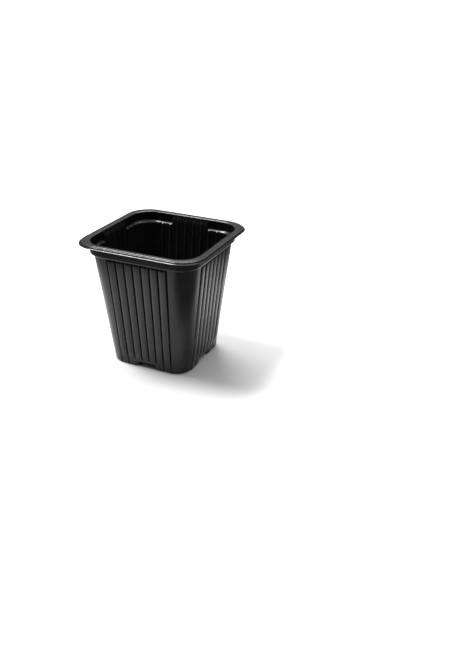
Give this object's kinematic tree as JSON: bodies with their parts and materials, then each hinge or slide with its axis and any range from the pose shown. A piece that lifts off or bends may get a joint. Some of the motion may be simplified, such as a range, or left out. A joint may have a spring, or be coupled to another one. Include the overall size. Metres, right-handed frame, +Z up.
{
  "type": "square nursery pot",
  "caption": "Tapered square plastic nursery pot with pleated walls, a stepped shoulder, a wide rolled rim and a drained base on corner feet.",
  "frame": {"origin": "on the ground plane, at the centre of the base, under the feet", "axes": "+Z up out of the pot's mouth; X and Y square to the four walls"},
  "size_m": [0.1, 0.1, 0.098],
  "materials": {
    "black_polypropylene": "satin black polypropylene with a soft sheen"
  },
  "bodies": {
    "root": {"pot_body": "black_polypropylene"}
  },
  "joints": []
}
